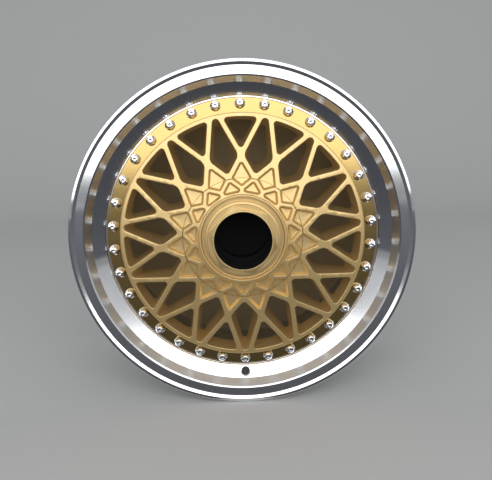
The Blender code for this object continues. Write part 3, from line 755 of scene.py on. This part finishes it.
def make_bolt_nut():
    nut = bar("bolt_nut", 6.3 * mm, 0, 46.0 * mm, 52.4 * mm, 6)
    chamfer = turned("nut_chamfer", [
        (1.0, 45.9, 0.0), (6.6, 45.9, 0.0), (6.6, 50.9, 0.0), (4.9, 52.4, 0.0),
        (1.0, 52.4, 0.0)], facets=36, closed=False)
    cut(nut, chamfer, "INTERSECT")
    cut(nut, bar("nut_thread", 3.45 * mm, 0, 44 * mm, 54 * mm, 24))
    move_to_bolt_circle(nut)
    return nut


def copy_round(piece, count, body, replaced):
    """The piece and its copies round the axle, each with its own mesh and number."""
    name = piece.name
    copies = [piece]
    for index in range(1, count):
        twin = piece.copy()
        twin.data = piece.data.copy()
        SCENE.collection.objects.link(twin)
        turn_about_axle(twin, index * 2 * math.pi / count)
        copies.append(twin)
    for index, twin in enumerate(copies):
        twin.name = twin.data.name = f"{name}_{index + 1:02d}"
        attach(twin, body)
        if replaced:
            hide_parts(f"{replaced}_{index + 1:02d}")
    print(f"{count} of {name}")
    return copies


BOLT_HEADS = copy_round(smooth_by_angle(make_bolt(), 26), BOLTS, "rim",
                        "assembly_bolt")
BOLT_NUTS = copy_round(smooth_by_angle(make_bolt_nut(), 26), BOLTS, "rim", "")

# %% The two seals
def ring_of_section(name, radius, depth, section, sides=16):
    """A round-section ring, as an outline of a regular polygon."""
    outline = [(radius + section * math.cos(2 * math.pi * i / sides),
                depth + section * math.sin(2 * math.pi * i / sides), 0.0)
               for i in range(sides)]
    return turned(name, outline, facets=192)


RIM_SEAL = finish_piece(ring_of_section("rim_sealing_bead", 185.3, 39.45, 2.15), "rim",
                        ["rim_seal"], smooth_under=60)
COVER_SEAL = finish_piece(ring_of_section("cover_o_ring", 44.15, 8.6, 1.1, 12), "rim",
                          ["cover_seal_ring"], smooth_under=60)

# %% [markdown]
# ## Node groups for the finishes
#
# Four effects are shared by several finishes, in three node groups: the fine rings that a lathe
# leaves, the grain of metallic paint, and the pale wear of edges with a film of dust. Each group
# reads Object coordinates, puts out varying values only, and leaves the shader itself to the
# material.

# %% A small toolkit for nodes
def new_group(name, inputs, outputs):
    """A shader node group with float inputs (name, default) and outputs (name)."""
    group = bpy.data.node_groups.new(name, "ShaderNodeTree")
    for label, default in inputs:
        socket = group.interface.new_socket(name=label, in_out="INPUT",
                                            socket_type="NodeSocketFloat")
        socket.default_value = default
    for label in outputs:
        group.interface.new_socket(name=label, in_out="OUTPUT", socket_type="NodeSocketFloat")
    return group, group.nodes.new("NodeGroupInput"), group.nodes.new("NodeGroupOutput")


def connect(tree, source, target):
    tree.links.new(source, target)


def math_node(tree, operation, *values, clamp=False):
    """A Math node whose inputs are numbers or sockets; returns its output socket."""
    node = tree.nodes.new("ShaderNodeMath")
    node.operation = operation
    node.use_clamp = clamp
    for socket, value in zip(node.inputs, values):
        if isinstance(value, (int, float)):
            socket.default_value = value
        else:
            connect(tree, value, socket)
    return node.outputs[0]


def noise(tree, vector, scale, detail=2.0, roughness=0.5):
    node = tree.nodes.new("ShaderNodeTexNoise")
    node.inputs["Detail"].default_value = detail
    node.inputs["Roughness"].default_value = roughness
    if isinstance(scale, (int, float)):
        node.inputs["Scale"].default_value = scale
    else:
        connect(tree, scale, node.inputs["Scale"])
    connect(tree, vector, node.inputs["Vector"])
    return node.outputs["Fac"]


def object_coordinates(tree):
    return tree.nodes.new("ShaderNodeTexCoord").outputs["Object"]


def radius_and_depth(tree):
    """The distance from the axle and the place along it, as sockets."""
    where = tree.nodes.new("ShaderNodeSeparateXYZ")
    connect(tree, object_coordinates(tree), where.inputs[0])
    squares = [math_node(tree, "MULTIPLY", where.outputs[axis], where.outputs[axis])
               for axis in ("X", "Z")]
    return (math_node(tree, "SQRT", math_node(tree, "ADD", *squares)),
            where.outputs["Y"])


# %% Rings left by turning
def make_turning_group():
    """Noise that varies only with the radius and the depth, so it runs in fine rings."""
    group, given, out = new_group("turning_rings", [("Rings per metre", 900.0)], ["Height"])
    radius, depth = radius_and_depth(group)
    place = group.nodes.new("ShaderNodeCombineXYZ")
    connect(group, radius, place.inputs["X"])
    connect(group, depth, place.inputs["Y"])
    rings = noise(group, place.outputs[0], given.outputs["Rings per metre"], 3.0, 0.6)
    connect(group, rings, out.inputs["Height"])
    return group


# %% Grain of metallic paint
def make_flake_group():
    """Fine grain, and the slow clouds that tint a coat from place to place."""
    group, given, out = new_group(
        "paint_flake", [("Flakes per metre", 2500.0), ("Cloud per metre", 22.0)],
        ["Flake", "Cloud"])
    where = object_coordinates(group)
    connect(group, noise(group, where, given.outputs["Flakes per metre"], 2.0, 0.7),
            out.inputs["Flake"])
    connect(group, noise(group, where, given.outputs["Cloud per metre"], 4.0, 0.55),
            out.inputs["Cloud"])
    return group


# %% Wear and dust
def make_wear_group():
    """A mask of sharp edges, broken up by noise, and a film of dust on upward faces."""
    group, given, out = new_group(
        "wear_and_dust", [("Wear", 0.3), ("Dust", 0.2)], ["Wear mask", "Dust mask"])
    geometry = group.nodes.new("ShaderNodeNewGeometry")
    where = object_coordinates(group)
    edge = math_node(group, "SUBTRACT", geometry.outputs["Pointiness"], 0.53)
    edge = math_node(group, "MULTIPLY", edge, 9.0, clamp=True)
    patches = math_node(group, "MULTIPLY", noise(group, where, 130.0, 5.0, 0.65), edge)
    connect(group, math_node(group, "MULTIPLY", patches, given.outputs["Wear"], clamp=True),
            out.inputs["Wear mask"])
    facing = group.nodes.new("ShaderNodeSeparateXYZ")
    connect(group, geometry.outputs["Normal"], facing.inputs[0])
    upward = math_node(group, "MULTIPLY", facing.outputs["Z"], 0.8, clamp=True)
    film = math_node(group, "MULTIPLY", upward, noise(group, where, 60.0, 6.0, 0.7))
    connect(group, math_node(group, "MULTIPLY", film, given.outputs["Dust"], clamp=True),
            out.inputs["Dust mask"])
    return group


TURNING = make_turning_group()
FLAKE = make_flake_group()
WEAR = make_wear_group()
print("groups:", TURNING.name, FLAKE.name, WEAR.name)

# %% [markdown]
# ## The finishes
#
# The lip is polished to a mirror and the barrel is satin, both bare aluminium. The centre is
# metallic paint: a satin coat over its face, and glossy where the machined bolting flange was
# painted bright. Bolts are chromed. Polish shows its quality only by what it reflects, so most
# of the work is in the roughness and in the very small waves of its surface. On the polished lip
# the marks of turning blur every reflection along the radius, and the steep step is duller than
# the rest.

# %% Tools for a material
def new_material(name, metallic, roughness, **sockets):
    material = bpy.data.materials.new(name)
    material.use_nodes = True
    tree = material.node_tree
    shader = tree.nodes["Principled BSDF"]
    shader.inputs["Metallic"].default_value = metallic
    shader.inputs["Roughness"].default_value = roughness
    for label, value in sockets.items():
        shader.inputs[label.replace("_", " ")].default_value = value
    return material, tree, shader


def place_group(tree, group, **values):
    node = tree.nodes.new("ShaderNodeGroup")
    node.node_tree = group
    for label, value in values.items():
        node.inputs[label.replace("_", " ")].default_value = value
    return node.outputs


def mix_colours(tree, factor, first, second):
    """Mix two colours, each given as a triple or a socket."""
    node = tree.nodes.new("ShaderNodeMix")
    node.data_type = "RGBA"
    connect(tree, factor, node.inputs["Factor"])
    for socket, value in ((node.inputs["A"], first), (node.inputs["B"], second)):
        if isinstance(value, tuple):
            socket.default_value = (*value, 1)
        else:
            connect(tree, value, socket)
    return node.outputs["Result"]


def span(tree, value, low, high):
    """Stretch a 0 to 1 value to the range from low to high."""
    node = tree.nodes.new("ShaderNodeMapRange")
    connect(tree, value, node.inputs["Value"])
    node.inputs["From Min"].default_value = 0.3
    node.inputs["From Max"].default_value = 0.7
    node.inputs["To Min"].default_value = low
    node.inputs["To Max"].default_value = high
    return node.outputs["Result"]


def add_bump(tree, shader, height, distance):
    bump = tree.nodes.new("ShaderNodeBump")
    bump.inputs["Distance"].default_value = distance
    bump.inputs["Strength"].default_value = 1.0
    connect(tree, height, bump.inputs["Height"])
    connect(tree, bump.outputs["Normal"], shader.inputs["Normal"])


def within_ring(tree, inner, outer):
    """One where the distance from the axle is between the two radii, zero elsewhere."""
    radius, _ = radius_and_depth(tree)
    return math_node(tree, "COMPARE", radius, (inner + outer) / 2, (outer - inner) / 2)


def stretch_outwards(tree, shader):
    """Blur reflections along the radius, as turning marks do."""
    tangent = tree.nodes.new("ShaderNodeTangent")
    tangent.direction_type = "RADIAL"
    tangent.axis = "Y"
    connect(tree, tangent.outputs[0], shader.inputs["Tangent"])
    shader.inputs["Anisotropic"].default_value = 1.0
    shader.inputs["Anisotropic Rotation"].default_value = 0.25


DUST_ON_METAL = (0.45, 0.43, 0.40)
DUST_ON_GOLD = (0.42, 0.38, 0.30)
WORN_GOLD = (0.98, 0.82, 0.52)
ADDED_ROUGHNESS = 0.22


def turned_metal(name, light, dark, roughness, rings, wave, dust, coarse_ring=None):
    """Bare turned metal, from mirror polish to satin, by its roughness and ring waves."""
    material, tree, shader = new_material(name, 1.0, roughness[0])
    height = place_group(tree, TURNING, Rings_per_metre=rings)["Height"]
    film = place_group(tree, WEAR, Wear=0.0, Dust=dust)["Dust mask"]
    clouds = place_group(tree, FLAKE, Cloud_per_metre=14.0)["Cloud"]
    colour = mix_colours(tree, height, light, dark)
    connect(tree, mix_colours(tree, film, colour, DUST_ON_METAL), shader.inputs["Base Color"])
    rough = math_node(tree, "ADD", span(tree, clouds, roughness[0], roughness[1]),
                      math_node(tree, "MULTIPLY", film, 0.4))
    if coarse_ring:
        coarse = math_node(tree, "MULTIPLY", within_ring(tree, *coarse_ring), ADDED_ROUGHNESS)
        rough = math_node(tree, "ADD", rough, coarse)
        stretch_outwards(tree, shader)
    connect(tree, rough, shader.inputs["Roughness"])
    add_bump(tree, shader, height, wave)
    return material


def gold(name, tones, roughness, metallic, flake, **sockets):
    """Metallic gold paint, clouded between two tones and paler where its edges are worn."""
    material, tree, shader = new_material(name, metallic, roughness[0], **sockets)
    grain = place_group(tree, FLAKE)
    marks = place_group(tree, WEAR, Wear=0.35, Dust=0.10)
    colour = mix_colours(tree, grain["Cloud"], *tones)
    colour = mix_colours(tree, marks["Wear mask"], colour, WORN_GOLD)
    connect(tree, mix_colours(tree, marks["Dust mask"], colour, DUST_ON_GOLD),
            shader.inputs["Base Color"])
    connect(tree, span(tree, grain["Flake"], *roughness), shader.inputs["Roughness"])
    add_bump(tree, shader, grain["Flake"], flake)
    return material


# %% Mix the finishes
POLISHED = turned_metal("polished_aluminium_finish", (0.93, 0.93, 0.94), (0.86, 0.87, 0.89),
                        (0.09, 0.12), 1300.0, 0.0000016, 0.05,
                        coarse_ring=(193.3 * mm, 199.0 * mm))
SATIN = turned_metal("satin_aluminium_finish", (0.78, 0.79, 0.80), (0.66, 0.67, 0.69),
                     (0.26, 0.38), 700.0, 0.00002, 0.35)
CHROME = turned_metal("chrome_finish", (0.96, 0.96, 0.97), (0.93, 0.94, 0.95),
                      (0.02, 0.05), 400.0, 0.000001, 0.0)
STEEL = turned_metal("bright_steel_finish", (0.72, 0.71, 0.69), (0.60, 0.60, 0.59),
                     (0.22, 0.34), 2500.0, 0.00001, 0.15)
SATIN_GOLD = gold("satin_gold_finish", ((0.80, 0.585, 0.27), (0.75, 0.53, 0.23)),
                  (0.28, 0.36), 0.7, 0.000012)
GLOSSY_GOLD = gold("glossy_gold_finish", ((0.64, 0.44, 0.17), (0.60, 0.41, 0.15)),
                   (0.12, 0.18), 1.0, 0.000001)


def soft_finish(name, light, dark, roughness, grain):
    """Sealant, rubber, or the painted shade of the bore: dull, with a fine skin."""
    material, tree, shader = new_material(name, 0.0, roughness)
    skin = place_group(tree, FLAKE, Flakes_per_metre=grain, Cloud_per_metre=90.0)
    connect(tree, mix_colours(tree, skin["Cloud"], light, dark), shader.inputs["Base Color"])
    add_bump(tree, shader, skin["Flake"], 0.0001)
    return material


SEALANT = soft_finish("grey_sealant_finish", (0.34, 0.34, 0.34), (0.22, 0.22, 0.23), 0.5, 500.0)
# Painted shade: a near-black finish that stands in for the shade deep inside the bore.
BORE_SHADE = soft_finish("painted_bore_shade_finish", (0.010, 0.010, 0.010), (0.006, 0.006, 0.006), 0.6,
                         900.0)
RUBBER = soft_finish("black_rubber_finish", (0.030, 0.030, 0.032), (0.016, 0.016, 0.017), 0.55,
                     1500.0)

# %% Give every piece its finish
def dark_inside(piece, radius, depth, material):
    """Faces nearer the axle than the radius and behind the depth take one more material."""
    piece.data.materials.append(material)
    for face in piece.data.polygons:
        middle = face.center
        if math.hypot(middle.x, middle.z) < radius and middle.y > y_of(depth):
            face.material_index = len(piece.data.materials) - 1


def dress(piece, *materials):
    piece.data.materials.clear()
    for material in materials:
        piece.data.materials.append(material)


def gloss_outside(piece, radius):
    """Faces beyond the radius take the second material."""
    for face in piece.data.polygons:
        middle = face.center
        face.material_index = int(math.hypot(middle.x, middle.z) > radius)


dress(LIP, POLISHED)
dress(BARREL, SATIN)
dress(CENTRE, SATIN_GOLD, GLOSSY_GOLD)
gloss_outside(CENTRE, MESH_RADIUS - 0.05 * mm)
dress(COVER, SATIN_GOLD)
dress(NUT, SATIN_GOLD)
# Painted shade: the bore is made near-black from the nut's front edge back to the hub face.
dark_inside(NUT, 36.1 * mm, -18.6 * mm, BORE_SHADE)
dark_inside(CENTRE, 44.0 * mm, 20 * mm, BORE_SHADE)
for bolt, nut in zip(BOLT_HEADS, BOLT_NUTS):
    dress(bolt, CHROME)
    dress(nut, STEEL)
dress(RIM_SEAL, SEALANT)
dress(COVER_SEAL, RUBBER)
# The two locating pins keep the shapes that the CAD model gives them.
for pin in ("cover_pin_1", "cover_pin_2"):
    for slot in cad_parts[pin].material_slots:
        slot.material = STEEL
print("finishes:", sorted(m.name for m in bpy.data.materials if m.name.endswith("finish")))

# %% [markdown]
# ## The studio
#
# A mirror has no look of its own, only that of the room. So the room is built like a tabletop
# studio for polished metal: a pale floor that sweeps up into a wall, one broad soft window of
# light high in front, and a dim strip that the lower reflections fall on. A tan card closes the
# barrel behind, so that the gaps between the spokes read as a shaded inside, and a black card of
# painted shade closes the bore, standing in for the darkness deep inside it. Both cards are
# see-through from behind.

# %% Stage pieces
def plain_finish(name, colour, roughness=0.8):
    material, _, shader = new_material(name, 0.0, roughness)
    shader.inputs["Base Color"].default_value = (*colour, 1)
    return material


def one_sided(material):
    """Make the material see-through from behind."""
    tree = material.node_tree
    mix = tree.nodes.new("ShaderNodeMixShader")
    clear = tree.nodes.new("ShaderNodeBsdfTransparent")
    back = tree.nodes.new("ShaderNodeNewGeometry").outputs["Backfacing"]
    connect(tree, back, mix.inputs["Fac"])
    connect(tree, tree.nodes["Principled BSDF"].outputs[0], mix.inputs[1])
    connect(tree, clear.outputs[0], mix.inputs[2])
    connect(tree, mix.outputs[0], tree.nodes["Material Output"].inputs["Surface"])
    return material


def on_stage(piece, material):
    """Give a piece of the studio its finish."""
    piece.data.materials.append(material)


def sweeping_floor(low):
    """A pale floor that curves up into a wall far behind the wheel."""
    start_clean()
    bpy.ops.mesh.primitive_grid_add(x_subdivisions=1, y_subdivisions=140, size=14,
                                    location=(0, 0, low))
    floor = apply_placement("studio_floor")
    bend_start, bend_radius = 1.6, 1.2
    for vertex in floor.data.vertices:
        beyond = vertex.co.y - bend_start
        if beyond > 0:
            turn = min(beyond / bend_radius, math.pi / 2)
            vertex.co.y = bend_start + bend_radius * math.sin(turn)
            vertex.co.z += bend_radius * (1 - math.cos(turn))
            vertex.co.z += max(beyond - bend_radius * math.pi / 2, 0)
    for face in floor.data.polygons:
        face.use_smooth = True
    on_stage(floor, plain_finish("pale_floor_finish", (0.62, 0.62, 0.61)))


def backing_disc(name, radius, y, colour):
    """A round card across the axle line, which shows only from in front."""
    start_clean()
    bpy.ops.mesh.primitive_circle_add(vertices=96, radius=radius, fill_type="NGON",
                                      location=(0, y, 0), rotation=(math.pi / 2, 0, 0))
    on_stage(apply_placement(name), one_sided(plain_finish(f"{name}_finish", colour, 0.9)))


def dim_strip(low):
    """A dark strip on the floor that only reflections see."""
    start_clean()
    bpy.ops.mesh.primitive_plane_add(size=1, location=(0, -1.23, low + 1 * mm))
    bpy.context.object.scale = (4.4, 2.24, 1)
    strip = apply_placement("dim_strip")
    on_stage(strip, plain_finish("dim_strip_finish", (0.05, 0.055, 0.07)))
    strip.visible_camera = strip.visible_diffuse = strip.visible_shadow = False


sweeping_floor(-EDGE * mm)
backing_disc("backing_card", 200 * mm, y_of(BARREL_BACK) + 0.5 * mm, (0.78, 0.64, 0.41))
# Painted shade: a near-black card that stands in for the darkness deep in the bore.
backing_disc("painted_bore_shade_card", 36.1 * mm, y_of(75 * mm), (0.004, 0.004, 0.004))
dim_strip(-EDGE * mm)

# %% Light
def window_light(place, target, width, height, watts):
    """A broad soft light that is seen only in reflections."""
    data = bpy.data.lights.new("window_light", "AREA")
    data.shape = "RECTANGLE"
    data.size, data.size_y = width, height
    data.energy = watts
    light = bpy.data.objects.new("window_light", data)
    light.location = place
    light.rotation_euler = (target - place).to_track_quat("-Z", "Y").to_euler()
    light.visible_camera = False
    SCENE.collection.objects.link(light)


def studio_air(colour, strength):
    """Even, faintly blue light from all round."""
    world = bpy.data.worlds.new("studio_air")
    world.use_nodes = True
    background = world.node_tree.nodes["Background"]
    background.inputs["Color"].default_value = (*colour, 1)
    background.inputs["Strength"].default_value = strength
    SCENE.world = world


window_light(Vector((0, -2.4, 1.28)), Vector((0, 0, 1.0)), 3.6, 2.7, 52)
studio_air((0.75, 0.77, 0.80), 0.55)
SCENE.view_settings.view_transform = "Standard"
print("lights:", [light.name for light in bpy.data.lights], " world:", SCENE.world.name)

# %% [markdown]
# ## The camera
#
# The wheel is seen from close in front and a little above, so the near lip looks larger than
# the barrel behind it.

# %% Set the camera
def set_camera(place, target, lens, roll):
    """The camera looks from place to target and leans by the roll, about its own axis."""
    data = bpy.data.cameras.new("studio_camera")
    camera = bpy.data.objects.new("studio_camera", data)
    SCENE.collection.objects.link(camera)
    data.sensor_width = 36
    data.lens = lens
    aim = (target - place).to_track_quat("-Z", "Y")
    camera.rotation_euler = (aim @ Quaternion((0, 0, 1), roll)).to_euler()
    camera.location = place
    SCENE.camera = camera


CROSSINGS_Y = y_of(3.8 * mm)     # the plane in which the spokes cross
set_camera(Vector((-8.6 * mm, CROSSINGS_Y - 723.7 * mm, 127.8 * mm)),
           Vector((3.8 * mm, CROSSINGS_Y, -2.6 * mm)), 42.5, math.radians(-1.2))
print("camera at", [round(c / mm, 1) for c in SCENE.camera.location], "mm")

# %% Remove the bolt hole cutter
bpy.data.objects.remove(BOLT_HOLE_CUTTER, do_unlink=True)
